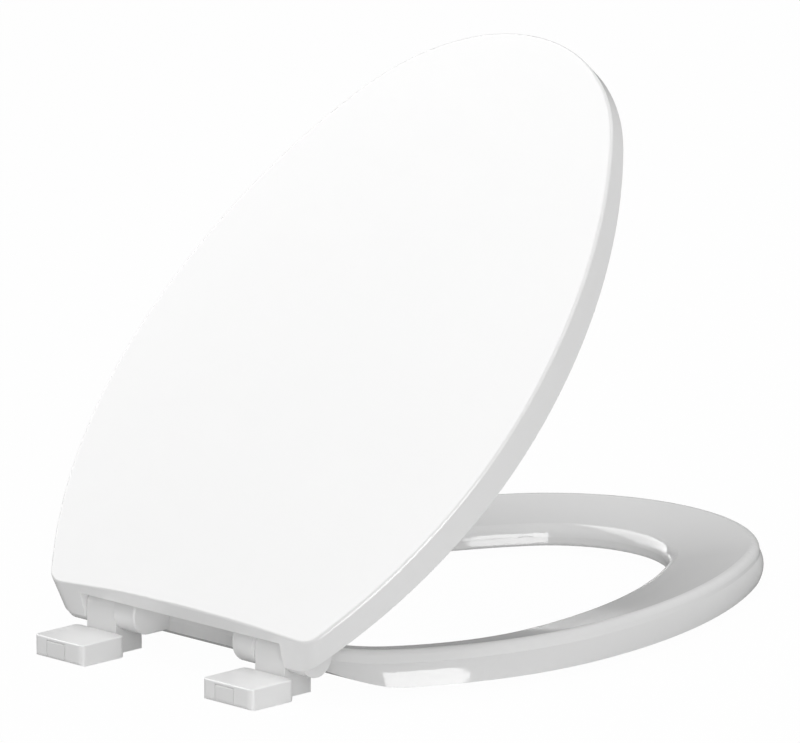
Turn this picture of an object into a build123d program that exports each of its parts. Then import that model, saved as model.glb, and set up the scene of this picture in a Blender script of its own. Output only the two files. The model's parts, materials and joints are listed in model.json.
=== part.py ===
"""Elongated closed-front toilet seat with a lid, a ring, two hinge posts and flip-up bolt caps.

Origin midway between the two bolt slots, on the surface that the seat is bolted to.
+X along the hinge axis, +Y to the front of the seat, +Z up. The lid stands half open.
"""
import os
from math import acos, asin, atan2, cos, degrees, radians, sin, sqrt
from typing import NamedTuple

from build123d import *

os.makedirs("parts", exist_ok=True)

# Hinge line and the posts that carry it
post_spacing = 150.0
post_width = 26.0
post_radius = 11.0
post_rear_y = 18.2
hinge_height = 27.5
pin_radius = 3.5
running_gap = 0.05
side_gap = 0.5

# Base plate of a post, with the slot for its bolt
base_thickness = 4.0
slot_length = 20.0
slot_width = 9.0

# Flip-up cap over the bolt
cap_width = 43.4
cap_front_y = 17.9
cap_rear_y = -19.0
cap_height = 13.7
cap_wall = 2.0
cap_corner = 4.0
cap_edge = 1.0
cap_fit = 0.45
cap_knuckle = 2.6
cap_lift = 0.2
tab_offset = -1.8
tab_width = 15.9
tab_height = 11.6
tab_bevel = 0.8
tab_gap = 0.4
trunnion_radius = 1.4
trunnion_length = 2.6
trunnion_gap = 0.2

# Lid, its heights from the hinge axis and its outline inside the ring's
lid_angle = 45.8
lid_inset = 2.2
lid_rear_margin = 24.4
lid_tip_inset = 4.9
lid_top = 19.9
lid_crown = 9.2
lid_skirt = 19.2
lid_tip_skirt = 10.5
lid_skirt_y = 179.0
lid_flare = 0.6
lid_corner_r = 16.0
lid_skirt_corner_r = 17.0
lid_rear_reach = 13.9
lid_rear_slope = 31.2
lid_plate = 4.0
lid_wall = 3.0
lid_edge = 1.8
lid_strip_height = 17.4

# Knuckles on the hinge axis
lug_radius = 13.5
lug_width = 18.0
lug_edge = 1.5
ear_radius = 13.5
ear_width = 16.0
knuckle_floor = 2.5
knuckle_play = 0.4
lug_arm_reach = 20.0
lug_arm_root = 6.0

# Ring, from the surface it stands over
ring_half_width = 172.0
ring_tip_y = 475.5
ring_front_r = 133.0
ring_fore_r = 387.0
ring_rear_margin = 7.0
ring_rear_y = 46.5
ring_corner_r = 60.0
ring_bottom = 4.5
ring_girth_height = 12.5
ring_girth_tip = 2.5
ring_neck_height = 20.2
ring_neck_side = 0.5
ring_neck_tip = -0.4
ring_crest = 27.8
ring_crest_side = -2.2
ring_crest_tip = -0.6
ring_lip = 17.3
ring_shoulder = 5.0
ring_lip_round = 8.0
ring_under_round = 2.5
ring_heel_rise = 9.0
ring_heel_length = 30.0

# Opening of the ring
opening_half_width = 118.5
opening_tip_y = 416.5
opening_front_r = 74.0
opening_fore_r = 342.0
opening_aft_r = 150.0
opening_rear_y = 85.0
opening_corner_r = 50.0

# Soft bumpers
bumper_length = 30.0
bumper_width = 14.0
bumper_stud_r = 3.0
bumper_stud_length = 5.0
bumper_edge = 1.5
bumper_front_y = 350.0
bumper_rear_y = 170.0
lid_bumper_y = 335.0
lid_bumper_r = 7.5
lid_boss_r = 9.0
lid_boss_height = 7.0
lid_close_past_level = 0.2
rest_gap = 0.3

# Places that follow from the sizes above
hinge_y = post_rear_y + post_radius
post_inner = (post_spacing - post_width) / 2
post_outer = (post_spacing + post_width) / 2
lug_outer = post_inner - side_gap
lug_inner = lug_outer - lug_width
ear_inner = post_outer + side_gap
ear_outer = ear_inner + ear_width
pin_inner = lug_inner + knuckle_floor
pin_outer = ear_outer - knuckle_floor
cap_pivot_y = cap_rear_y + cap_knuckle
cap_pivot_z = cap_knuckle + cap_lift
sides = {"left": -1, "right": 1}

lid_plane = Plane(
    origin=(0, hinge_y, hinge_height),
    x_dir=(1, 0, 0),
    z_dir=(0, -sin(radians(lid_angle)), cos(radians(lid_angle))),
)


def arc_radius(run, rise):
    """Radius of an arc that rises by so much at that distance from its middle."""
    return (run**2 + rise**2) / (2 * rise)


class Egg(NamedTuple):
    """Egg-shaped outline: a front arc, two tangent arcs a side and a straight rear edge."""

    half_width: float
    tip_y: float
    front_r: float
    fore_r: float
    rear_y: float
    corner_r: float
    aft_r: float

    def grown(self, by):
        """The parallel outline."""
        return Egg(
            self.half_width + by,
            self.tip_y + by,
            self.front_r + by,
            self.fore_r + by,
            self.rear_y - by,
            self.corner_r + by,
            self.aft_r + by,
        )

    def swelled(self, side, tip):
        """The outline moved out by one amount at the sides and another at the tip."""
        return self.grown(side)._replace(tip_y=self.tip_y + tip, front_r=self.front_r + (side + tip) / 2)

    def lean(self):
        """Half angle of the front arc, in radians."""
        return asin((self.fore_r - self.half_width) / (self.fore_r - self.front_r))

    def widest_y(self):
        """Where the outline is widest."""
        return self.tip_y - self.front_r - (self.fore_r - self.front_r) * cos(self.lean())

    def half_at(self, y):
        """Half width of a side arc at y."""
        side_r = self.fore_r if y > self.widest_y() else self.aft_r
        return self.half_width - side_r + sqrt(side_r**2 - (y - self.widest_y()) ** 2)

    def face(self, plane):
        """The outline as a face on a plane."""
        lean = degrees(self.lean())
        fall = degrees(asin((self.widest_y() - self.rear_y) / self.aft_r))
        rear_x = self.half_at(self.rear_y)
        with BuildSketch(plane) as outline:
            with BuildLine():
                CenterArc((0, self.tip_y - self.front_r), self.front_r, 90 - lean, 2 * lean)
                CenterArc((self.half_width - self.fore_r, self.widest_y()), self.fore_r, 0, 90 - lean)
                CenterArc((self.half_width - self.aft_r, self.widest_y()), self.aft_r, -fall, fall)
                CenterArc((self.fore_r - self.half_width, self.widest_y()), self.fore_r, 90 + lean, 90 - lean)
                CenterArc((self.aft_r - self.half_width, self.widest_y()), self.aft_r, 180, fall)
                Line((-rear_x, self.rear_y), (rear_x, self.rear_y))
            make_face()
            fillet(outline.vertices().group_by(Axis.Y)[0], self.corner_r)
        return outline.sketch


# The rear corners of the ring and the lid lie past the lid's ears, whatever the width
ring_front = Egg(
    ring_half_width, ring_tip_y, ring_front_r, ring_fore_r, ring_rear_y, ring_corner_r, ring_fore_r
)
aft_run = ring_front.widest_y() - ring_rear_y
ring_outline = ring_front._replace(
    aft_r=arc_radius(aft_run, ring_half_width - ear_outer - ring_rear_margin)
)
lid_aft_r = arc_radius(aft_run, ring_half_width - ear_outer - lid_rear_margin)
# The wall is flat along the sides and swells towards the tip
girth_rise = (ring_girth_height - ring_bottom) / (ring_neck_height - ring_bottom)
girth_outline = ring_outline.swelled(ring_neck_side * girth_rise, ring_girth_tip)
neck_outline = ring_outline.swelled(ring_neck_side, ring_neck_tip)
crest_outline = ring_outline.swelled(ring_crest_side, ring_crest_tip)
opening_outline = Egg(
    opening_half_width, opening_tip_y, opening_front_r, opening_fore_r,
    opening_rear_y, opening_corner_r, opening_aft_r,
)
lid_outline = Egg(
    ring_half_width - lid_inset, ring_tip_y - lid_tip_inset - hinge_y, ring_front_r - lid_inset,
    ring_fore_r - lid_inset, 0, lid_corner_r, lid_aft_r - lid_inset,
)


def lid_section(height, inset=0.0):
    """Outline of the lid at a height over the hinge axis, inset from the outside."""
    depth = (lid_top - height) / lid_skirt
    slope = radians(lid_rear_slope)
    return lid_outline.grown(lid_flare * depth - inset)._replace(
        rear_y=(height * sin(slope) - lid_rear_reach + inset) / cos(slope),
        corner_r=lid_corner_r + (lid_skirt_corner_r - lid_corner_r) * depth - inset,
    )


def land_height(y, x):
    """Height of the ring's sloping top at a place between its crest and its opening."""
    crest_x = crest_outline.half_at(y)
    lip_x = opening_outline.half_at(y)
    return ring_lip + (ring_crest - ring_lip) * (x - lip_x) / (crest_x - lip_x)


class Spot(NamedTuple):
    """Where a ring bumper sits and how far it is turned."""

    place: tuple
    turn: float


def land_middle(y):
    """Half-way between the opening and the outside of the ring."""
    return (ring_outline.half_at(y) + opening_outline.half_at(y)) / 2


def bumper_spot(y, sign):
    """A ring bumper on the middle of the land, lying along it."""
    swing = land_middle(y + bumper_length / 2) - land_middle(y - bumper_length / 2)
    return Spot((sign * land_middle(y), y), degrees(atan2(bumper_length, sign * swing)))


ring_bumpers = {
    f"{end}_{side}": bumper_spot(y, sign)
    for end, y in (("front", bumper_front_y), ("rear", bumper_rear_y))
    for side, sign in sides.items()
}

# The lid's bumpers meet the sloping top of the ring when the lid is shut
lid_bumper_x = land_middle(lid_bumper_y)
lid_bumper_places = [(sign * lid_bumper_x, lid_bumper_y - hinge_y) for sign in sides.values()]
touch_height = land_height(lid_bumper_y, lid_bumper_x + lid_bumper_r) + rest_gap - hinge_height
touch_height += (lid_bumper_y + lid_bumper_r - hinge_y) * sin(radians(lid_close_past_level))
lid_boss_floor = lid_top - lid_plate - lid_boss_height
lid_bumper_height = lid_boss_floor - touch_height
lid_normal = Axis((0, 0, 0), lid_plane.z_dir)
lid_side_plane = Plane(origin=lid_plane.origin, x_dir=lid_plane.y_dir, z_dir=(1, 0, 0))


skirt_arc_r = arc_radius(lid_outline.tip_y + hinge_y - lid_skirt_y, lid_skirt - lid_tip_skirt)


def dome(height):
    """Solid of revolution with the lid's two curvatures and its crown at a height over the hinge axis."""
    middle = lid_outline.widest_y()
    run = lid_outline.tip_y - middle
    along_r = arc_radius(run, lid_crown)
    hub = height - arc_radius(lid_outline.half_width, lid_crown)
    end = run + lid_skirt
    end_height = height - along_r + sqrt(along_r**2 - end**2)
    with BuildPart() as barrel:
        with BuildSketch(lid_side_plane):
            with BuildLine():
                ThreePointArc((middle - end, end_height), (middle, height), (middle + end, end_height))
                Polyline(
                    (middle + end, end_height),
                    (middle + end, hub),
                    (middle - end, hub),
                    (middle - end, end_height),
                )
            make_face()
        revolve(axis=Axis(lid_side_plane.from_local_coords((0, hub)), lid_plane.y_dir))
    return barrel.part


# A lug's arm runs tangent to its barrel and ends inside the ring
heel_run = post_radius
arm_root_y = ring_rear_y + lug_arm_root
arm_top = (ring_rear_y + lug_arm_reach, (ring_crest + ring_lip) / 2)
arm_span = (arm_top[0] - hinge_y, arm_top[1] - hinge_height)
arm_lean = atan2(arm_span[1], arm_span[0]) + acos(lug_radius / sqrt(arm_span[0] ** 2 + arm_span[1] ** 2))
arm_tangent = (hinge_y + lug_radius * cos(arm_lean), hinge_height + lug_radius * sin(arm_lean))


# Hinge posts: slotted base plate, round-topped post and the tab that carries the cap
for side, sign in sides.items():
    centre_x = sign * post_spacing / 2
    post_plane = Plane.YZ.offset(centre_x)
    plate_half = cap_width / 2 - cap_wall - cap_fit
    plate_rear_y = cap_pivot_y + cap_knuckle + rest_gap
    with BuildPart() as hinge_post:
        with BuildSketch(post_plane):
            with BuildLine():
                Polyline(
                    (hinge_y - post_radius, hinge_height),
                    (hinge_y - post_radius, 0),
                    (hinge_y + post_radius, 0),
                    (hinge_y + post_radius, hinge_height),
                )
                CenterArc((hinge_y, hinge_height), post_radius, 0, 180)
            make_face()
        extrude(amount=post_width / 2, both=True)
        with BuildSketch(Plane.XY):
            with Locations((centre_x, (plate_rear_y + hinge_y) / 2)):
                Rectangle(2 * plate_half, hinge_y - plate_rear_y)
            with Locations((centre_x, (hinge_y + post_rear_y) / 2)):
                Rectangle(2 * plate_half, hinge_y - post_rear_y, mode=Mode.SUBTRACT)
                Rectangle(post_width, hinge_y - post_rear_y)
        extrude(amount=base_thickness)
        with BuildSketch(post_plane.offset(tab_offset)):
            with BuildLine():
                Polyline(
                    (cap_pivot_y, cap_lift),
                    (plate_rear_y + cap_knuckle, cap_lift),
                    (plate_rear_y + cap_knuckle, base_thickness),
                    (cap_pivot_y + cap_knuckle, cap_pivot_z + cap_knuckle),
                    (cap_rear_y + cap_wall, cap_pivot_z + cap_knuckle),
                    (cap_rear_y + cap_wall, tab_height),
                    (cap_rear_y + tab_bevel, tab_height),
                    (cap_rear_y, tab_height - tab_bevel),
                    (cap_rear_y, cap_pivot_z),
                )
                CenterArc((cap_pivot_y, cap_pivot_z), cap_knuckle, 180, 90)
            make_face()
        extrude(amount=tab_width / 2, both=True)
        with BuildSketch(Plane.XY):
            with Locations((centre_x, 0)):
                SlotOverall(slot_length, slot_width)
        extrude(amount=base_thickness, mode=Mode.SUBTRACT)
        with BuildSketch(post_plane):
            with Locations((hinge_y, hinge_height)):
                Circle(pin_radius)
        extrude(amount=post_width / 2, both=True, mode=Mode.SUBTRACT)
        with BuildSketch(post_plane.offset(tab_offset)):
            with Locations((cap_pivot_y, cap_pivot_z)):
                Circle(trunnion_radius + trunnion_gap)
        extrude(amount=tab_width / 2, both=True, mode=Mode.SUBTRACT)
    hinge_post.part.label = f"hinge_post_{side}"
    export_step(hinge_post.part, f"parts/hinge_post_{side}.step")

    # Bolt cap: a shell open below, notched round the tab and over the base plate
    cap_depth = cap_front_y - cap_rear_y
    cap_middle = (cap_front_y + cap_rear_y) / 2
    notch_half = tab_width / 2 + tab_gap
    with BuildPart() as bolt_cap:
        with BuildSketch(Plane.XY):
            with Locations((centre_x, cap_middle)):
                RectangleRounded(cap_width, cap_depth, cap_corner)
        extrude(amount=cap_height)
        fillet(bolt_cap.faces().sort_by(Axis.Z)[-1].edges(), cap_edge)
        with BuildSketch(Plane.XY):
            with Locations((centre_x, cap_middle)):
                RectangleRounded(cap_width - 2 * cap_wall, cap_depth - 2 * cap_wall, cap_corner - cap_wall)
        extrude(amount=cap_height - cap_wall, mode=Mode.SUBTRACT)
        with BuildSketch(post_plane):
            with Locations((cap_pivot_y, cap_pivot_z)):
                Circle(cap_knuckle)
        extrude(amount=cap_width / 2 - cap_corner, both=True)
        with BuildSketch(post_plane):
            with BuildLine():
                Polyline((cap_pivot_y, 0), (cap_rear_y, 0), (cap_rear_y, cap_pivot_z))
                CenterArc((cap_pivot_y, cap_pivot_z), cap_knuckle, 180, 90)
                Line((cap_pivot_y, cap_pivot_z - cap_knuckle), (cap_pivot_y, 0))
            make_face()
        extrude(amount=cap_width / 2, both=True, mode=Mode.SUBTRACT)
        with BuildSketch(post_plane.offset(tab_offset)):
            with Locations((cap_pivot_y, (tab_height + tab_gap) / 2)):
                Rectangle(2 * cap_knuckle + tab_gap, tab_height + tab_gap)
        extrude(amount=notch_half, both=True, mode=Mode.SUBTRACT)
        with BuildSketch(Plane.XY):
            with Locations((centre_x, cap_front_y)):
                Rectangle(2 * plate_half + 2 * cap_fit, 2 * cap_corner)
        extrude(amount=base_thickness + rest_gap, mode=Mode.SUBTRACT)
        for end in (-1, 1):
            with BuildSketch(post_plane.offset(tab_offset + end * (notch_half - trunnion_length / 2))):
                with Locations((cap_pivot_y, cap_pivot_z)):
                    Circle(trunnion_radius)
            extrude(amount=trunnion_length / 2, both=True)
    bolt_cap.part.label = f"bolt_cap_{side}"
    export_step(bolt_cap.part, f"parts/bolt_cap_{side}.step")

    # Hinge pin, through the post with an end in each knuckle
    with BuildPart() as hinge_pin:
        with BuildSketch(Plane.YZ.offset(sign * pin_inner)):
            with Locations((hinge_y, hinge_height)):
                Circle(pin_radius)
        extrude(amount=sign * (pin_outer - pin_inner))
    hinge_pin.part.label = f"hinge_pin_{side}"
    export_step(hinge_pin.part, f"parts/hinge_pin_{side}.step")

# Seat ring: wall swelling at the tip, neck, shoulder up to a crest, top falling to the opening
with BuildPart() as seat_ring:
    add(ring_outline.face(Plane.XY.offset(ring_bottom)))
    add(girth_outline.face(Plane.XY.offset(ring_girth_height)))
    add(neck_outline.face(Plane.XY.offset(ring_neck_height)))
    loft()
    add(neck_outline.face(Plane.XY.offset(ring_neck_height)))
    add(crest_outline.face(Plane.XY.offset(ring_crest)))
    loft(ruled=True)
    add(crest_outline.face(Plane.XY.offset(ring_crest)))
    add(opening_outline.face(Plane.XY.offset(ring_lip)))
    loft(ruled=True, mode=Mode.SUBTRACT)
    add(opening_outline.face(Plane.XY.offset(ring_bottom)))
    extrude(amount=ring_crest - ring_bottom, mode=Mode.SUBTRACT)
    fillet(seat_ring.edges().filter_by_position(Axis.Z, ring_crest, ring_crest), ring_shoulder)
    fillet(seat_ring.edges().filter_by_position(Axis.Z, ring_lip, ring_lip), ring_lip_round)
    underside = seat_ring.faces().filter_by(Plane.XY).sort_by(Axis.Z)[0]
    fillet(underside.inner_wires()[0].edges(), ring_under_round)
    # The heel rises to clear the bolted surface
    with BuildSketch(Plane.YZ):
        with BuildLine():
            heel_end = (ring_rear_y, ring_bottom + ring_heel_rise)
            TangentArc((ring_rear_y + ring_heel_length, ring_bottom), heel_end, tangent=(-1, 0))
            Polyline(
                heel_end,
                (ring_rear_y - heel_run, ring_bottom + ring_heel_rise),
                (ring_rear_y - heel_run, ring_bottom - rest_gap),
                (ring_rear_y + ring_heel_length, ring_bottom - rest_gap),
                (ring_rear_y + ring_heel_length, ring_bottom),
            )
        make_face()
    extrude(amount=ring_half_width, both=True, mode=Mode.SUBTRACT)
    # Hinge lugs: a barrel on the axis and an arm back to the ring
    for sign in sides.values():
        with BuildPart() as lug:
            with BuildSketch(Plane.YZ.offset(sign * lug_outer)):
                with Locations((hinge_y, hinge_height)):
                    Circle(lug_radius)
                with BuildLine():
                    Polyline(
                        (hinge_y, hinge_height - lug_radius),
                        (arm_root_y, hinge_height - lug_radius),
                        arm_top,
                        arm_tangent,
                        (hinge_y, hinge_height),
                        close=True,
                    )
                make_face()
            extrude(amount=-sign * lug_width)
            fillet(lug.faces().sort_by(Axis.X)[0 if sign > 0 else -1].edges(), lug_edge)
        add(lug.part)
        with BuildSketch(Plane.YZ.offset(sign * lug_outer)):
            with Locations((hinge_y, hinge_height)):
                Circle(pin_radius + running_gap)
        extrude(amount=-sign * (lug_outer - pin_inner + knuckle_play), mode=Mode.SUBTRACT)
    # Sockets for the bumper studs
    for spot in ring_bumpers.values():
        with BuildSketch(Plane.XY.offset(ring_bottom)):
            with Locations(spot.place):
                Circle(bumper_stud_r + running_gap)
        extrude(amount=bumper_stud_length + knuckle_play, mode=Mode.SUBTRACT)
seat_ring.part.label = "seat_ring"
export_step(seat_ring.part, "parts/seat_ring.step")

# Bumpers under the ring: a pad and a stud pushed into the ring
for name, spot in ring_bumpers.items():
    with BuildPart() as ring_bumper:
        with BuildSketch(Plane.XY):
            with Locations(spot.place):
                SlotOverall(bumper_length, bumper_width, rotation=spot.turn)
        extrude(amount=ring_bottom)
        fillet(ring_bumper.faces().sort_by(Axis.Z)[0].edges(), bumper_edge)
        with BuildSketch(Plane.XY.offset(ring_bottom)):
            with Locations(spot.place):
                Circle(bumper_stud_r)
        extrude(amount=bumper_stud_length)
    ring_bumper.part.label = f"ring_bumper_{name}"
    export_step(ring_bumper.part, f"parts/ring_bumper_{name}.step")

# Lid: domed top over a skirt that is deepest half-way along its sides
crown_height = lid_top + lid_crown
with BuildPart() as lid_block:
    add(lid_section(lid_top - lid_skirt).face(lid_plane.offset(lid_top - lid_skirt)))
    add(lid_section(crown_height).face(lid_plane.offset(crown_height)))
    loft(ruled=True)
    add(dome(crown_height), mode=Mode.INTERSECT)
    fillet(lid_block.faces().sort_by(lid_normal)[-1].edges(), lid_edge)
with BuildPart() as lid_hollow:
    add(lid_section(lid_top - lid_skirt, lid_wall).face(lid_plane.offset(lid_top - lid_skirt)))
    add(lid_section(crown_height, lid_wall).face(lid_plane.offset(crown_height)))
    loft(ruled=True)
    add(dome(crown_height - lid_plate), mode=Mode.INTERSECT)
# Webs over the ears and bosses for the bumpers, as far as the outside of the lid
with BuildPart() as lid_ribs:
    for sign in sides.values():
        with BuildSketch(lid_side_plane.offset(sign * (ear_inner + ear_outer) / 2)):
            with Locations((0, crown_height / 2)):
                Rectangle(2 * ear_radius, crown_height)
        extrude(amount=ear_width / 2, both=True)
    with BuildSketch(lid_plane.offset(lid_boss_floor)):
        with Locations(*lid_bumper_places):
            Circle(lid_boss_r)
    extrude(amount=crown_height - lid_boss_floor)
    add(lid_block.part, mode=Mode.INTERSECT)
with BuildPart() as lid:
    add(lid_block.part)
    add(lid_hollow.part, mode=Mode.SUBTRACT)
    # Notch in the rear wall over posts and lugs, leaving a strip along the top
    with BuildSketch(lid_plane.offset(lid_strip_height)):
        with Locations((0, -lid_rear_reach)):
            Rectangle(2 * ear_inner, 4 * lid_rear_reach)
    extrude(amount=-lid_skirt, mode=Mode.SUBTRACT)
    add(lid_ribs.part)
    # Lower edge of the skirt, a long arc in the side view
    with BuildSketch(lid_side_plane):
        with Locations((lid_skirt_y - hinge_y, lid_top - lid_skirt + skirt_arc_r)):
            Circle(skirt_arc_r)
    extrude(amount=ring_half_width, both=True, mode=Mode.INTERSECT)
    # Hinge ears: a barrel on the axis, just inside the rear wall
    for sign in sides.values():
        with BuildSketch(lid_side_plane.offset(sign * (ear_inner + ear_outer) / 2)):
            Circle(ear_radius)
        extrude(amount=ear_width / 2, both=True)
        with BuildSketch(lid_side_plane.offset(sign * ear_inner)):
            Circle(pin_radius + running_gap)
        extrude(amount=sign * (pin_outer - ear_inner + knuckle_play), mode=Mode.SUBTRACT)
    with BuildSketch(lid_plane.offset(lid_boss_floor)):
        with Locations(*lid_bumper_places):
            Circle(bumper_stud_r + running_gap)
    extrude(amount=bumper_stud_length + knuckle_play, mode=Mode.SUBTRACT)
lid.part.label = "lid"
export_step(lid.part, "parts/lid.step")

# Bumpers under the lid
for side, sign in sides.items():
    with BuildPart() as lid_bumper:
        with BuildSketch(lid_plane.offset(lid_boss_floor)):
            with Locations((sign * lid_bumper_x, lid_bumper_y - hinge_y)):
                Circle(lid_bumper_r)
        extrude(amount=-lid_bumper_height)
        fillet(lid_bumper.faces().sort_by(lid_normal)[0].edges(), bumper_edge)
        with BuildSketch(lid_plane.offset(lid_boss_floor)):
            with Locations((sign * lid_bumper_x, lid_bumper_y - hinge_y)):
                Circle(bumper_stud_r)
        extrude(amount=bumper_stud_length)
    lid_bumper.part.label = f"lid_bumper_{side}"
    export_step(lid_bumper.part, f"parts/lid_bumper_{side}.step")
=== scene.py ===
"""Toilet seat with its lid half open: finishes, moulded detail and studio round the solids."""
import json
import logging
import math
from dataclasses import dataclass, field
from enum import Enum
from typing import Mapping, Optional, Sequence, Union

import bmesh
import bpy
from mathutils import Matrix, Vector


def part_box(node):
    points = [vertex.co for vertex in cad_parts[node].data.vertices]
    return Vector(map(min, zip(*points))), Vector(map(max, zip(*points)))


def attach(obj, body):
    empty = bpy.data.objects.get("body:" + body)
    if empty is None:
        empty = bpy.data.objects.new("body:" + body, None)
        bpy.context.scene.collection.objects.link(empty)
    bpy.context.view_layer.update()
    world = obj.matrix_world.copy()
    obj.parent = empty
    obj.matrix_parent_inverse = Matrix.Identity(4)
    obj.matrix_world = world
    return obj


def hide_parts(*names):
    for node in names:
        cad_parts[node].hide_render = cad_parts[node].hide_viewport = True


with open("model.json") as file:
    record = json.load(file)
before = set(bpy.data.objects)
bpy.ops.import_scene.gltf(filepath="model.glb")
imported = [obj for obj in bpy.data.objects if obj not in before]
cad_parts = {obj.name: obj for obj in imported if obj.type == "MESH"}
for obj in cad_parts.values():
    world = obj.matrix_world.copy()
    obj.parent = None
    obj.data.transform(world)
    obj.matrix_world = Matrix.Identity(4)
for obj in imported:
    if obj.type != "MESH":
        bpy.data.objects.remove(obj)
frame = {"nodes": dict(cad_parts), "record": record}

log = logging.getLogger("toilet_seat")

Number = Union[int, float]
Colour = tuple[float, float, float]

MM_PER_M = 1000.0
MERGE_DISTANCE = 0.00001
WHITE = (1.0, 1.0, 1.0, 1.0)
SMOOTH_DETAIL = 1.0
FINE_DETAIL = 3.0
MIX_LOW, MIX_HIGH, MIX_COLOUR = 6, 7, 2


class Side(Enum):
    """The two sides of the seat, as signs along the hinge axis."""

    LEFT = -1
    RIGHT = 1

    @property
    def word(self) -> str:
        """The side as it stands in node names."""
        return self.name.lower()


class Grain(Enum):
    """How the surface of a mould was finished."""

    POLISHED = "polished"
    SPARKED = "sparked"


class Role(Enum):
    """What a softbox does: it only lights, or it is only seen mirrored in the gloss."""

    FILL = "fill"
    CARD = "card"


class Graph:
    """A node tree that is written as expressions."""

    def __init__(self, tree: bpy.types.NodeTree) -> None:
        """Starts from an empty tree.

        Args:
            tree: The tree to fill; its nodes are removed.
        """
        self.tree = tree
        tree.nodes.clear()

    def node(
        self,
        kind: str,
        settings: Optional[Mapping[str, object]] = None,
        sockets: Optional[Mapping[Union[str, int], object]] = None,
    ) -> bpy.types.Node:
        """Adds a node, sets it up and fills or links its sockets.

        Args:
            kind: The node's type name.
            settings: Properties of the node, set first; "captures" is a list of
                (type, name) to keep on points.
            sockets: Values, or Shade values to link, by socket name or number.

        Returns:
            The new node.
        """
        made = self.tree.nodes.new(kind)
        for name, value in (settings or {}).items():
            if name == "captures":
                for item in value:
                    made.capture_items.new(*item)
            else:
                setattr(made, name, value)
        for name, value in (sockets or {}).items():
            socket = made.inputs[name]
            if isinstance(value, Shade):
                self.tree.links.new(value.socket, socket)
            else:
                socket.default_value = value
        return made

    def value(
        self,
        kind: str,
        settings: Optional[Mapping[str, object]] = None,
        sockets: Optional[Mapping[Union[str, int], object]] = None,
        output: Union[str, int] = 0,
    ) -> "Shade":
        """Adds a node and wraps one of its outputs.

        Args:
            kind: The node's type name.
            settings: Properties of the node.
            sockets: Values or links of its inputs.
            output: The output's name or number.

        Returns:
            The wrapped output.
        """
        return Shade(self, self.node(kind, settings, sockets).outputs[output])


class Shade:
    """A value in a node tree with the operators that the finishes use."""

    def __init__(self, graph: Graph, socket: bpy.types.NodeSocket) -> None:
        """Wraps a socket.

        Args:
            graph: The graph that the socket belongs to.
            socket: The output to wrap.
        """
        self.graph = graph
        self.socket = socket

    def math(self, operation: str, *others: Union["Shade", Number]) -> "Shade":
        """Puts this value first into a Math node.

        Args:
            operation: The node's operation.
            others: What goes into its other sockets.

        Returns:
            The node's result.
        """
        sockets = dict(enumerate((self, *others)))
        return self.graph.value("ShaderNodeMath", {"operation": operation}, sockets)

    def reflected(self, operation: str, other: Number) -> "Shade":
        """Puts a plain number first and this value second into a Math node.

        Args:
            operation: The node's operation.
            other: The number.

        Returns:
            The node's result.
        """
        return self.graph.value("ShaderNodeMath", {"operation": operation}, {0: other, 1: self})

    def __add__(self, other: Union["Shade", Number]) -> "Shade":
        """Sum."""
        return self.math("ADD", other)

    def __radd__(self, other: Number) -> "Shade":
        """Sum with a number in front."""
        return self.reflected("ADD", other)

    def __sub__(self, other: Union["Shade", Number]) -> "Shade":
        """Difference."""
        return self.math("SUBTRACT", other)

    def __rsub__(self, other: Number) -> "Shade":
        """Difference from a number."""
        return self.reflected("SUBTRACT", other)

    def __mul__(self, other: Union["Shade", Number]) -> "Shade":
        """Product."""
        return self.math("MULTIPLY", other)

    def __rmul__(self, other: Number) -> "Shade":
        """Product with a number in front."""
        return self.reflected("MULTIPLY", other)

    def at_least(self, other: Union["Shade", Number]) -> "Shade":
        """The larger of the two."""
        return self.math("MAXIMUM", other)


class Surface:
    """A material being built: its graph, Object coordinates and main shader."""

    def __init__(self, name: str, fixed: Mapping[str, object]) -> None:
        """Makes the material with one main shader.

        Args:
            name: The material's name.
            fixed: Values of the shader's sockets that are the same all over.
        """
        self.material = bpy.data.materials.new(name)
        self.material.use_nodes = True
        self.graph = Graph(self.material.node_tree)
        self.shader = self.graph.node("ShaderNodeBsdfPrincipled", None, fixed)
        output = self.graph.node("ShaderNodeOutputMaterial")
        self.graph.tree.links.new(self.shader.outputs[0], output.inputs["Surface"])
        self.place = self.graph.value("ShaderNodeTexCoord", output="Object")

    def noise(
        self, scale: float, detail: float = 2.0, stretch: Optional[Vector] = None
    ) -> Shade:
        """Cloudy noise from 0 to 1 on the piece's own coordinates.

        Args:
            scale: Cells per metre.
            detail: Octaves of finer noise.
            stretch: Factors along the axes, for grain that runs one way.

        Returns:
            The noise.
        """
        where = self.place
        if stretch is not None:
            where = self.graph.value(
                "ShaderNodeMapping", None, {"Vector": where, "Scale": stretch}
            )
        return self.graph.value(
            "ShaderNodeTexNoise", None, {"Vector": where, "Scale": scale, "Detail": detail}
        )

    def tint(self, mask: Shade, low: Colour, high: Colour) -> None:
        """Colours the surface between two tones.

        Args:
            mask: Where between the tones, from 0 to 1.
            low: Tone at 0.
            high: Tone at 1.
        """
        mixed = self.graph.value(
            "ShaderNodeMix",
            {"data_type": "RGBA"},
            {"Factor": mask, MIX_LOW: (*low, 1.0), MIX_HIGH: (*high, 1.0)},
            output=MIX_COLOUR,
        )
        self.link(mixed, "Base Color")

    def link(self, value: Shade, socket: str) -> None:
        """Feeds a value into the main shader.

        Args:
            value: The value.
            socket: The shader's socket.
        """
        self.graph.tree.links.new(value.socket, self.shader.inputs[socket])

    def relief(self, layers: Sequence[tuple[Shade, float]]) -> None:
        """Stacks bumps under the shader's normal.

        Args:
            layers: Pairs of a height from 0 to 1 and its depth in metres.
        """
        normal = None
        for height, depth in layers:
            sockets = {"Strength": 1.0, "Distance": depth, "Height": height}
            if normal is not None:
                sockets["Normal"] = normal
            normal = self.graph.value("ShaderNodeBump", None, sockets)
        self.link(normal, "Normal")


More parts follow.
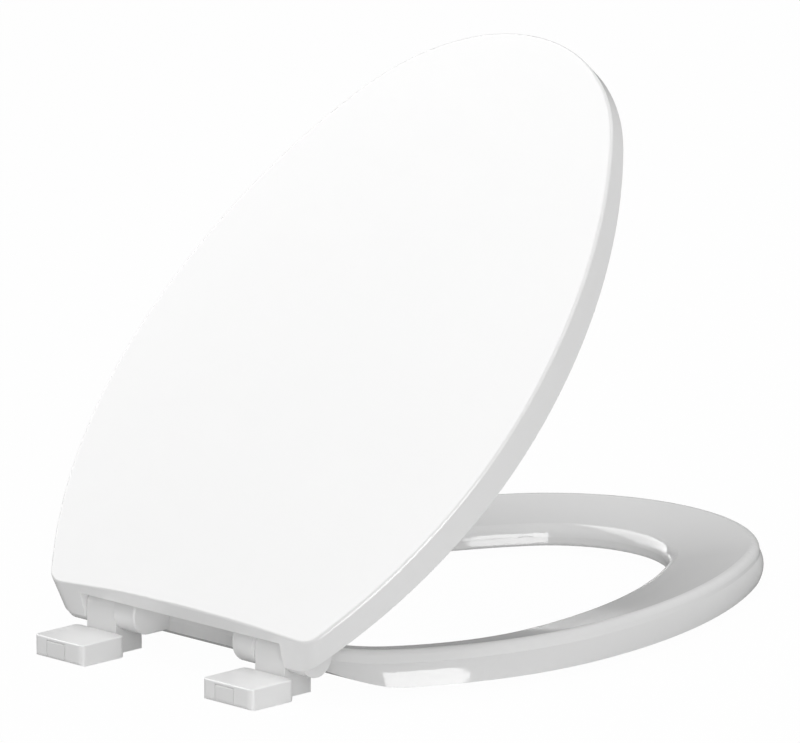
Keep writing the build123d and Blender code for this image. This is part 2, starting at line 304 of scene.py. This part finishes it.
def paler(colour: Colour, by: float) -> Colour:
    """A tone a little lighter or darker, for the spread of a moulded colour.

    Args:
        colour: The tone.
        by: The factor.

    Returns:
        The changed tone, at most white.
    """
    return tuple(min(1.0, c * by) for c in colour)


@dataclass(frozen=True)
class MouldedPlastic:
    """White moulded plastic, polished or sparked."""

    name: str
    colour: Colour
    roughness: float
    grain: Grain
    spread: float = 0.006
    flow_cells: float = 14.0
    wave_cells: float = 30.0
    wave_depth: float = 0.000012
    skin_cells: float = 700.0
    skin_depth: float = 0.0000012
    polish_low: float = 0.85
    polish_swing: float = 0.3
    spark_cells: float = 2600.0
    spark_depth: float = 0.000006
    spark_low: float = 0.8
    flow_swing: float = 0.25
    spark_swing: float = 0.15

    def material(self) -> bpy.types.Material:
        """Builds the finish.

        Returns:
            The material.
        """
        made = Surface(self.name, {"IOR": 1.5, "Specular IOR Level": 0.5})
        flow = made.noise(self.flow_cells, FINE_DETAIL)
        made.tint(flow, paler(self.colour, 1 - self.spread), paler(self.colour, 1 + self.spread))
        wave = made.noise(self.wave_cells, SMOOTH_DETAIL)
        if self.grain is Grain.POLISHED:
            dullness = self.polish_low + self.polish_swing * flow
            skin = (made.noise(self.skin_cells), self.skin_depth)
        else:
            spark = made.noise(self.spark_cells, FINE_DETAIL)
            dullness = self.spark_low + self.flow_swing * flow + self.spark_swing * spark
            skin = (spark, self.spark_depth)
        made.link(self.roughness * dullness, "Roughness")
        made.relief([(wave, self.wave_depth), skin])
        return made.material


@dataclass(frozen=True)
class DrawnSteel:
    """Bright steel wire with fine lines along its length."""

    name: str
    colour: Colour
    roughness: float = 0.3
    rough_low: float = 0.7
    rough_swing: float = 0.6
    dark: float = 0.85
    bright: float = 1.1
    line_cells: float = 1800.0
    line_depth: float = 0.000004
    line_stretch: tuple[float, float, float] = (0.02, 1.0, 1.0)

    def material(self) -> bpy.types.Material:
        """Builds the finish.

        Returns:
            The material.
        """
        made = Surface(self.name, {"Metallic": 1.0})
        lines = made.noise(self.line_cells, stretch=Vector(self.line_stretch))
        made.tint(lines, paler(self.colour, self.dark), paler(self.colour, self.bright))
        made.link(self.roughness * (self.rough_low + self.rough_swing * lines), "Roughness")
        made.relief([(lines, self.line_depth)])
        return made.material


@dataclass(frozen=True)
class SoftRubber:
    """Soft white rubber with a dull skin and fine specks."""

    name: str
    colour: Colour
    roughness: float = 0.65
    rough_low: float = 0.85
    rough_swing: float = 0.3
    dark: float = 0.95
    bright: float = 1.04
    speck_cells: float = 1500.0
    speck_depth: float = 0.00001
    bloom_cells: float = 60.0
    bloom_share: float = 0.6

    def material(self) -> bpy.types.Material:
        """Builds the finish.

        Returns:
            The material.
        """
        made = Surface(self.name, {"Specular IOR Level": 0.35})
        specks = made.noise(self.speck_cells, FINE_DETAIL)
        bloom = made.noise(self.bloom_cells)
        mask = self.bloom_share * bloom + (1.0 - self.bloom_share) * specks
        made.tint(mask, paler(self.colour, self.dark), paler(self.colour, self.bright))
        made.link(self.roughness * (self.rough_low + self.rough_swing * bloom), "Roughness")
        made.relief([(specks, self.speck_depth)])
        return made.material


@dataclass
class Finishes:
    """Every finish of the seat, one for each material slot of the record."""

    seat: MouldedPlastic = MouldedPlastic(
        "seat_plastic_gloss", (0.9, 0.9, 0.898), 0.07, Grain.POLISHED
    )
    hinge: MouldedPlastic = MouldedPlastic(
        "hinge_plastic_satin", (0.9, 0.9, 0.897), 0.42, Grain.SPARKED
    )
    cap: MouldedPlastic = MouldedPlastic(
        "cap_plastic_semi_gloss", (0.94, 0.94, 0.938), 0.3, Grain.SPARKED
    )
    pin: DrawnSteel = DrawnSteel("pin_steel_drawn", (0.62, 0.62, 0.63))
    bumper: SoftRubber = SoftRubber("bumper_rubber_white", (0.8, 0.8, 0.79))
    made: dict[str, bpy.types.Material] = field(default_factory=dict)

    def material(self, slot: str) -> bpy.types.Material:
        """The material of a record slot, made once.

        Args:
            slot: The slot's name in the record.

        Returns:
            The material.
        """
        if slot not in self.made:
            self.made[slot] = getattr(self, slot.split("_")[0]).material()
        return self.made[slot]


def placed(name: str, data: bpy.types.ID) -> bpy.types.Object:
    """A new object of the scene, at the origin.

    Args:
        name: The object's name.
        data: Its mesh, lamp or camera.

    Returns:
        The object.
    """
    made = bpy.data.objects.new(name, data)
    bpy.context.scene.collection.objects.link(made)
    return made


class Recipe:
    """A Geometry Nodes tree with named inputs whose result is kept as a plain mesh."""

    def __init__(self, name: str) -> None:
        """Starts the tree with its way in and out.

        Args:
            name: The tree's name.
        """
        self.tree = bpy.data.node_groups.new(name, "GeometryNodeTree")
        self.graph = Graph(self.tree)
        self.keys: dict[str, str] = {}
        self.tree.interface.new_socket(
            "Geometry", in_out="OUTPUT", socket_type="NodeSocketGeometry"
        )
        self.entry = self.graph.node("NodeGroupInput")
        self.exit = self.graph.node("NodeGroupOutput")
        self.start = self.input("Geometry", "NodeSocketGeometry")

    def input(self, name: str, kind: str) -> Shade:
        """Adds a named input.

        Args:
            name: The input's name.
            kind: Its socket type.

        Returns:
            The input as it is used inside the tree.
        """
        socket = self.tree.interface.new_socket(name, in_out="INPUT", socket_type=kind)
        self.keys[name] = socket.identifier
        return Shade(self.graph, self.entry.outputs[name])

    def size(self, name: str) -> Shade:
        """Adds a length in metres as a named input."""
        return self.input(name, "NodeSocketFloat")

    def moved(self, shape: Shade, offset: Shade) -> Shade:
        """The shape with all its points moved by an offset."""
        return self.graph.value(
            "GeometryNodeSetPosition", None, {"Geometry": shape, "Offset": offset}
        )

    def vector(
        self,
        x: Union[Shade, Number] = 0.0,
        y: Union[Shade, Number] = 0.0,
        z: Union[Shade, Number] = 0.0,
    ) -> Shade:
        """A vector from three values."""
        return self.graph.value("ShaderNodeCombineXYZ", None, {0: x, 1: y, 2: z})

    def joined(self, *shapes: Shade) -> Shade:
        """Several shapes as one.

        Args:
            shapes: The shapes.

        Returns:
            All of them together.
        """
        join = self.graph.node("GeometryNodeJoinGeometry")
        for shape in shapes:
            self.tree.links.new(shape.socket, join.inputs[0])
        return Shade(self.graph, join.outputs[0])

    def close(self, shape: Shade) -> None:
        """Ends the tree with real geometry in one finish.

        Args:
            shape: What the tree makes.
        """
        finish = self.input("Finish", "NodeSocketMaterial")
        real = self.graph.value("GeometryNodeRealizeInstances", None, {0: shape})
        dressed = self.graph.value(
            "GeometryNodeSetMaterial", None, {"Geometry": real, "Material": finish}
        )
        self.tree.links.new(dressed.socket, self.exit.inputs[0])

    def bake(
        self, piece: bpy.types.Object, values: Mapping[str, object], sharp: float = 0.6
    ) -> None:
        """Runs the tree on a piece and leaves the result in the piece as its plain mesh.

        Args:
            piece: The object whose mesh holds the places to start from.
            values: The tree's inputs by name.
            sharp: Angle in radians above which an edge stays sharp.
        """
        modifier = piece.modifiers.new(self.tree.name, "NODES")
        modifier.node_group = self.tree
        for name, value in values.items():
            modifier[self.keys[name]] = value
        graph = bpy.context.evaluated_depsgraph_get()
        mesh = bpy.data.meshes.new_from_object(piece.evaluated_get(graph))
        piece.modifiers.remove(modifier)
        mesh.name = piece.name
        mesh.shade_smooth()
        mesh.set_sharp_from_angle(angle=sharp)
        piece.data = mesh


def spots(name: str, places: Sequence[Vector], turns: Sequence[float]) -> bpy.types.Object:
    """An object of loose points for a recipe to work on.

    Args:
        name: The piece's name.
        places: The points.
        turns: Each point's turn about the upright axis, in radians.

    Returns:
        The object.
    """
    mesh = bpy.data.meshes.new(name)
    mesh.from_pydata(places, [], [])
    mesh.attributes.new("turn", "FLOAT", "POINT").data.foreach_set("value", turns)
    return placed(name, mesh)


@dataclass
class RingPads:
    """The four rubber pads under the ring: a slab with a ribbed foot and a stud in the ring."""

    finishes: Finishes
    front_turn: float = 65.58
    rear_turn: float = -80.85
    length: float = 0.03
    width: float = 0.014
    slab_foot: float = 0.0014
    slab_top: float = 0.0045
    corner_share: float = 0.499
    corner_steps: int = 12
    rib_radius: float = 0.0012
    rib_pitch: float = 0.004
    rib_count: int = 6
    rib_share: float = 0.46
    rib_sides: int = 16
    stud_radius: float = 0.003
    stud_length: float = 0.005
    stud_sides: int = 28

    def recipe(self) -> Recipe:
        """One ribbed pad, set out at every starting point.

        Returns:
            The tree.
        """
        made = Recipe("ribbed_pad")
        graph = made.graph
        length, width = made.size("Length"), made.size("Width")
        foot, top = made.size("Slab Foot"), made.size("Slab Top")
        radius, pitch = made.size("Rib Radius"), made.size("Rib Pitch")
        count = made.input("Rib Count", "NodeSocketInt")
        stud_radius, stud_length = made.size("Stud Radius"), made.size("Stud Length")
        outline = graph.value(
            "GeometryNodeCurvePrimitiveQuadrilateral", None, {"Width": length, "Height": width}
        )
        outline = graph.value(
            "GeometryNodeFilletCurve",
            {"mode": "POLY"},
            {
                "Curve": outline,
                "Count": self.corner_steps,
                "Radius": self.corner_share * width,
                "Limit Radius": True,
            },
        )
        face = graph.value("GeometryNodeFillCurve", {"mode": "NGONS"}, {"Curve": outline})
        slab = graph.value(
            "GeometryNodeExtrudeMesh",
            {"mode": "FACES"},
            {"Mesh": face, "Offset Scale": top - foot, "Individual": False},
        )
        under = graph.value("GeometryNodeFlipFaces", None, {"Mesh": face})
        slab = graph.value(
            "GeometryNodeMergeByDistance",
            None,
            {"Geometry": made.joined(slab, under), "Distance": MERGE_DISTANCE},
        )
        slab = made.moved(slab, made.vector(z=foot))
        reach = self.rib_share * width
        line = graph.value(
            "GeometryNodeCurvePrimitiveLine",
            None,
            {"Start": made.vector(y=-1.0 * reach), "End": made.vector(y=reach)},
        )
        ring = graph.value(
            "GeometryNodeCurvePrimitiveCircle",
            None,
            {"Resolution": self.rib_sides, "Radius": radius},
        )
        rib = graph.value(
            "GeometryNodeCurveToMesh",
            None,
            {"Curve": line, "Profile Curve": ring, "Fill Caps": True},
        )
        first = made.vector(-0.5 * pitch * (count - 1), 0.0, radius)
        row = graph.value(
            "GeometryNodeMeshLine",
            None,
            {"Count": count, "Start Location": first, "Offset": made.vector(pitch)},
        )
        ribs = graph.value("GeometryNodeInstanceOnPoints", None, {"Points": row, "Instance": rib})
        stud = graph.value(
            "GeometryNodeMeshCylinder",
            None,
            {"Vertices": self.stud_sides, "Radius": stud_radius, "Depth": stud_length},
        )
        stud = made.moved(stud, made.vector(z=top + 0.5 * stud_length))
        turn = graph.value(
            "GeometryNodeInputNamedAttribute", {"data_type": "FLOAT"}, {"Name": "turn"}
        )
        points = graph.value("GeometryNodeMeshToPoints", None, {"Mesh": made.start})
        pads = graph.value(
            "GeometryNodeInstanceOnPoints",
            None,
            {
                "Points": points,
                "Instance": made.joined(slab, ribs, stud),
                "Rotation": made.vector(z=turn),
            },
        )
        made.close(pads)
        return made

    def build(self) -> bpy.types.Object:
        """Makes the pads in the places of the plain ones.

        Returns:
            The piece.
        """
        nodes, places, turns = [], [], []
        for end, turn in (("front", self.front_turn), ("rear", self.rear_turn)):
            for side in Side:
                node = f"ring_bumper_{end}_{side.word}"
                low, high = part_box(node)
                nodes.append(node)
                places.append(Vector(((low.x + high.x) / 2, (low.y + high.y) / 2, low.z)))
                turns.append(math.radians(-side.value * turn))
        piece = spots("ring_pads", places, turns)
        self.recipe().bake(
            piece,
            {
                "Length": self.length,
                "Width": self.width,
                "Slab Foot": self.slab_foot,
                "Slab Top": self.slab_top,
                "Rib Radius": self.rib_radius,
                "Rib Pitch": self.rib_pitch,
                "Rib Count": self.rib_count,
                "Stud Radius": self.stud_radius,
                "Stud Length": self.stud_length,
                "Finish": self.finishes.material("bumper_rubber"),
            },
        )
        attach(piece, "ring")
        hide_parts(*nodes)
        return piece


@dataclass(frozen=True)
class LidPlane:
    """The half-open lid's own plane through the hinge axis."""

    hinge: tuple[float, float, float] = (0.0, 0.0292, 0.0275)
    angle: float = 45.8

    @property
    def tilt(self) -> Vector:
        """Turn of the plane, as Euler angles."""
        return Vector((math.radians(self.angle), 0.0, 0.0))

    @property
    def normal(self) -> Vector:
        """Direction out of the lid's top."""
        return Vector((0.0, -math.sin(self.tilt.x), math.cos(self.tilt.x)))

    def point(self, across: float, along: float, height: float) -> Vector:
        """A place on or over the plane.

        Args:
            across: Metres along the hinge axis.
            along: Metres from the hinge axis towards the lid's tip.
            height: Metres above the plane.

        Returns:
            The point.
        """
        run = Vector((across, along * math.cos(self.tilt.x), along * math.sin(self.tilt.x)))
        return Vector(self.hinge) + run + self.normal * height


@dataclass
class LidBuffers:
    """The lid's two turned rubber buffers: a stud, a grooved neck and a cupped face.

    The profile is (radius, height) in millimetres from the root of the stud, top to bottom.
    """

    finishes: Finishes
    plane: LidPlane
    along: float = 0.3058
    root: float = 0.0089
    steps: int = 56
    profile: tuple[tuple[float, float], ...] = (
        (0.0, 5.0), (2.5, 5.0), (3.0, 4.5), (3.0, 0.0), (6.9, 0.0), (7.35, -0.15),
        (7.5, -0.6), (7.5, -2.2), (7.3, -2.6), (6.7, -2.8), (6.4, -3.2), (6.4, -3.9),
        (6.7, -4.3), (7.3, -4.5), (7.5, -4.9), (7.5, -9.5), (7.3, -10.3), (6.8, -10.8),
        (6.0, -11.02), (5.0, -11.02), (4.6, -10.85), (4.3, -10.5), (3.6, -10.3),
        (2.0, -10.25), (0.0, -10.25),
    )

    def turned(self) -> bpy.types.Object:
        """One buffer, turned from its profile about the upright axis.

        Returns:
            The object, with the root of the stud at the origin.
        """
        shape = bmesh.new()
        line = [shape.verts.new((r / MM_PER_M, 0.0, z / MM_PER_M)) for r, z in self.profile]
        edges = [shape.edges.new(pair) for pair in zip(line, line[1:])]
        bmesh.ops.spin(
            shape,
            geom=line + edges,
            cent=(0, 0, 0),
            axis=(0, 0, 1),
            angle=math.tau,
            steps=self.steps,
            use_merge=True,
        )
        bmesh.ops.remove_doubles(shape, verts=shape.verts, dist=MERGE_DISTANCE)
        bmesh.ops.recalc_face_normals(shape, faces=shape.faces)
        mesh = bpy.data.meshes.new("turned_buffer")
        shape.to_mesh(mesh)
        shape.free()
        return placed(mesh.name, mesh)

    def recipe(self) -> Recipe:
        """One shape set out at every starting point, all tilted alike.

        Returns:
            The tree.
        """
        made = Recipe("tilted_set")
        shape = made.input("Shape", "NodeSocketObject")
        tilt = made.input("Tilt", "NodeSocketVector")
        solid = made.graph.value(
            "GeometryNodeObjectInfo", None, {"Object": shape}, output="Geometry"
        )
        points = made.graph.value("GeometryNodeMeshToPoints", None, {"Mesh": made.start})
        made.close(
            made.graph.value(
                "GeometryNodeInstanceOnPoints",
                None,
                {"Points": points, "Instance": solid, "Rotation": tilt},
            )
        )
        return made

    def build(self) -> bpy.types.Object:
        """Makes the buffers in the places of the plain ones.

        Returns:
            The piece.
        """
        nodes, places = [], []
        for side in Side:
            node = f"lid_bumper_{side.word}"
            low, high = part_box(node)
            nodes.append(node)
            places.append(self.plane.point((low.x + high.x) / 2, self.along, self.root))
        piece = spots("lid_buffers", places, [0.0] * len(places))
        shape = self.turned()
        finish = self.finishes.material("bumper_rubber")
        self.recipe().bake(piece, {"Shape": shape, "Tilt": self.plane.tilt, "Finish": finish})
        bpy.data.objects.remove(shape)
        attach(piece, "lid")
        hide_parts(*nodes)
        return piece


@dataclass
class PinMarks:
    """Round marks that the mould's ejector pins left on the hidden face of the lid."""

    finishes: Finishes
    plane: LidPlane
    columns: int = 4
    rows: int = 6
    width: float = 0.186
    length: float = 0.29
    middle: float = 0.205
    radius: float = 0.0045
    sides: int = 36
    proud: float = 0.0003
    nearest: float = 0.0125
    reach: float = 0.04
    facing: float = -0.9

    def recipe(self) -> Recipe:
        """A grid of discs laid on the face that rays from the grid meet.

        Returns:
            The tree.
        """
        made = Recipe("pin_marks")
        graph = made.graph
        target = made.input("Target", "NodeSocketObject")
        middle = made.input("Middle", "NodeSocketVector")
        tilt = made.input("Tilt", "NodeSocketVector")
        normal = made.input("Normal", "NodeSocketVector")
        width, length = made.size("Width"), made.size("Length")
        columns = made.input("Columns", "NodeSocketInt")
        rows = made.input("Rows", "NodeSocketInt")
        radius, proud = made.size("Radius"), made.size("Proud")
        nearest, reach, facing = made.size("Nearest"), made.size("Reach"), made.size("Facing")
        grid = graph.value(
            "GeometryNodeMeshGrid",
            None,
            {"Size X": width, "Size Y": length, "Vertices X": columns, "Vertices Y": rows},
        )
        points = graph.value("GeometryNodeMeshToPoints", None, {"Mesh": grid})
        points = graph.value(
            "GeometryNodeTransform",
            None,
            {"Geometry": points, "Translation": middle, "Rotation": tilt},
        )
        solid = graph.value("GeometryNodeObjectInfo", None, {"Object": target}, output="Geometry")
        ray = graph.node(
            "GeometryNodeRaycast",
            None,
            {"Target Geometry": solid, "Ray Direction": normal, "Ray Length": reach},
        )
        met, where_met, normal_met, distance = (
            Shade(graph, ray.outputs[name])
            for name in ("Is Hit", "Hit Position", "Hit Normal", "Hit Distance")
        )
        against = graph.value(
            "ShaderNodeVectorMath",
            {"operation": "DOT_PRODUCT"},
            {0: normal_met, 1: normal},
            output="Value",
        )
        keep = met * distance.math("GREATER_THAN", nearest) * against.math("LESS_THAN", facing)
        kept = graph.node(
            "GeometryNodeCaptureAttribute",
            {"captures": [("VECTOR", "Face")]},
            {"Geometry": points, "Face": normal_met},
        )
        points = graph.value(
            "GeometryNodeDeleteGeometry",
            {"domain": "POINT"},
            {0: Shade(graph, kept.outputs[0]), 1: 1.0 - keep},
        )
        points = graph.value(
            "GeometryNodeSetPosition", None, {"Geometry": points, "Position": where_met}
        )
        disc = graph.value(
            "GeometryNodeMeshCylinder",
            None,
            {"Vertices": self.sides, "Radius": radius, "Depth": 2.0 * proud},
        )
        turn = graph.value(
            "FunctionNodeAlignRotationToVector",
            {"axis": "Z"},
            {"Vector": Shade(graph, kept.outputs["Face"])},
        )
        made.close(
            graph.value(
                "GeometryNodeInstanceOnPoints",
                None,
                {"Points": points, "Instance": disc, "Rotation": turn},
            )
        )
        return made

    def build(self) -> bpy.types.Object:
        """Lays the marks on the lid.

        Returns:
            The piece.
        """
        piece = spots("lid_pin_marks", [], [])
        self.recipe().bake(
            piece,
            {
                "Target": frame["nodes"]["lid"],
                "Middle": self.plane.point(0.0, self.middle, 0.0),
                "Tilt": self.plane.tilt,
                "Normal": self.plane.normal,
                "Width": self.width,
                "Length": self.length,
                "Columns": self.columns,
                "Rows": self.rows,
                "Radius": self.radius,
                "Proud": self.proud,
                "Nearest": self.nearest,
                "Reach": self.reach,
                "Facing": self.facing,
                "Finish": self.finishes.material("seat_plastic"),
            },
        )
        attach(piece, "lid")
        return piece


@dataclass
class Solids:
    """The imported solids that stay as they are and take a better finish."""

    finishes: Finishes

    def dress(self) -> None:
        """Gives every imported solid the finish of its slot."""
        for row in frame["record"]["subparts"]:
            node = frame["nodes"][row["node"]]
            slot = row["material_slot"]
            for place in node.material_slots:
                place.material = self.finishes.material(slot)
            log.info("%s takes %s", row["node"], slot)


@dataclass(frozen=True)
class Softbox:
    """A rectangular lamp that faces the seat, or stands lower by its drop."""

    name: str
    role: Role
    azimuth: float
    elevation: float
    radiance: float
    distance: float = 3.0
    width: float = 1.4
    height: float = 1.4
    drop: float = 0.0

    def place(self, aim: Vector) -> bpy.types.Object:
        """Adds the lamp.

        Args:
            aim: The point that it faces.

        Returns:
            The lamp's object.
        """
        lamp = bpy.data.lights.new(self.name, "AREA")
        lamp.shape = "RECTANGLE"
        lamp.size = self.width
        lamp.size_y = self.height
        lamp.energy = self.radiance * math.pi * self.width * self.height
        made = placed(self.name, lamp)
        back = towards(self.azimuth, self.elevation)
        made.location = aim + back * self.distance - Vector((0.0, 0.0, self.drop))
        made.rotation_mode = "QUATERNION"
        made.rotation_quaternion = back.to_track_quat("Z", "Y")
        made.visible_camera = False
        made.visible_diffuse = self.role is Role.FILL
        made.visible_glossy = self.role is Role.CARD
        return made


def towards(azimuth: float, elevation: float) -> Vector:
    """Unit vector from the seat outwards.

    Args:
        azimuth: Degrees round from -Y towards +X.
        elevation: Degrees above the floor.

    Returns:
        The direction.
    """
    a, e = math.radians(azimuth), math.radians(elevation)
    return Vector((math.sin(a) * math.cos(e), -math.cos(a) * math.cos(e), math.sin(e)))


@dataclass
class Studio:
    """Floor, white surroundings, soft lamps and the camera."""

    aim: Vector = field(default_factory=lambda: Vector((0.0, 0.2, 0.12)))
    azimuth: float = 45.038
    elevation: float = 13.322
    distance: float = 6.0
    lens: float = 431.33
    sensor: float = 36.0
    sight: float = 200.0
    shift_x: float = 0.0074
    shift_y: float = 0.0789
    floor_half: float = 30.0
    floor_drop: float = 0.0003
    floor_white: float = 0.75
    floor_share: float = 0.98
    ambient: float = 0.27
    mirrored: float = 0.24
    lamps: tuple[Softbox, ...] = (
        Softbox("lamp_key", Role.FILL, azimuth=0.0, elevation=66.0, radiance=3.6),
        Softbox("lamp_near", Role.FILL, azimuth=50.0, elevation=15.0, radiance=3.6),
        Softbox("lamp_right", Role.FILL, azimuth=122.0, elevation=18.0, radiance=1.7),
        Softbox("lamp_top", Role.FILL, azimuth=0.0, elevation=89.0, radiance=3.6),
        Softbox("lamp_front", Role.FILL, azimuth=195.0, elevation=32.0, radiance=2.8),
        Softbox(
            "card_right", Role.CARD, azimuth=68.3, elevation=0.0, radiance=7.2,
            distance=2.0, width=1.24, height=2.3, drop=0.26,
        ),
        Softbox(
            "card_left", Role.CARD, azimuth=-80.0, elevation=36.0, radiance=3.5,
            distance=2.4, width=2.9, height=2.9,
        ),
    )

    def build(self) -> None:
        """Builds the whole studio."""
        self.surroundings()
        self.floor()
        for lamp in self.lamps:
            lamp.place(self.aim)
        self.camera()
        bpy.context.scene.view_settings.view_transform = "Standard"

    def surroundings(self) -> None:
        """World that is white to the camera and a soft level of light to everything else."""
        world = bpy.data.worlds.new("studio_white")
        bpy.context.scene.world = world
        world.use_nodes = True
        graph = Graph(world.node_tree)
        path = graph.node("ShaderNodeLightPath")
        seen = Shade(graph, path.outputs["Is Camera Ray"])
        mirrored = Shade(graph, path.outputs["Is Glossy Ray"])
        through = Shade(graph, path.outputs["Is Transmission Ray"])
        white = seen.at_least(through)
        level = self.ambient + (1.0 - self.ambient) * white
        level = level + (self.mirrored - self.ambient) * mirrored * (1.0 - white)
        back = graph.node("ShaderNodeBackground", None, {"Color": WHITE, "Strength": level})
        output = graph.node("ShaderNodeOutputWorld")
        graph.tree.links.new(back.outputs[0], output.inputs["Surface"])

    def floor(self) -> bpy.types.Object:
        """Plain pale floor that keeps a little of the seat's shadow.

        Returns:
            The floor.
        """
        mesh = bpy.data.meshes.new("floor")
        h, z = self.floor_half, -self.floor_drop
        mesh.from_pydata([(-h, -h, z), (h, -h, z), (h, h, z), (-h, h, z)], [], [(0, 1, 2, 3)])
        made = placed("floor", mesh)
        material = bpy.data.materials.new("floor_white")
        material.use_nodes = True
        graph = Graph(material.node_tree)
        tone = (self.floor_white,) * 3 + (1.0,)
        matt = graph.value("ShaderNodeBsdfDiffuse", None, {"Color": tone})
        glow = graph.value("ShaderNodeEmission", None, {"Color": WHITE, "Strength": 1.0})
        seen = graph.value("ShaderNodeLightPath", output="Is Camera Ray")
        mixed = graph.value(
            "ShaderNodeMixShader", None, {0: self.floor_share * seen, 1: matt, 2: glow}
        )
        output = graph.node("ShaderNodeOutputMaterial")
        graph.tree.links.new(mixed.socket, output.inputs["Surface"])
        mesh.materials.append(material)
        made.visible_glossy = False
        return made

    def camera(self) -> bpy.types.Object:
        """Long-lens camera at the photograph's angle.

        Returns:
            The camera.
        """
        data = bpy.data.cameras.new("camera")
        data.lens = self.lens
        data.sensor_width = self.sensor
        data.shift_x = self.shift_x
        data.shift_y = self.shift_y
        data.clip_end = self.sight
        made = placed("camera", data)
        back = towards(self.azimuth, self.elevation)
        made.location = self.aim + back * self.distance
        made.rotation_mode = "QUATERNION"
        made.rotation_quaternion = (-back).to_track_quat("-Z", "Y")
        bpy.context.scene.camera = made
        return made


def main() -> None:
    """Builds the seat's looks and the studio."""
    logging.basicConfig(level=logging.INFO, format="%(name)s: %(message)s")
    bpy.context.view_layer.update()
    finishes = Finishes()
    Solids(finishes).dress()
    plane = LidPlane()
    for maker in (RingPads(finishes), LidBuffers(finishes, plane), PinMarks(finishes, plane)):
        piece = maker.build()
        log.info("%s has %d faces", piece.name, len(piece.data.polygons))
    Studio().build()


if __name__ == "__main__":
    main()
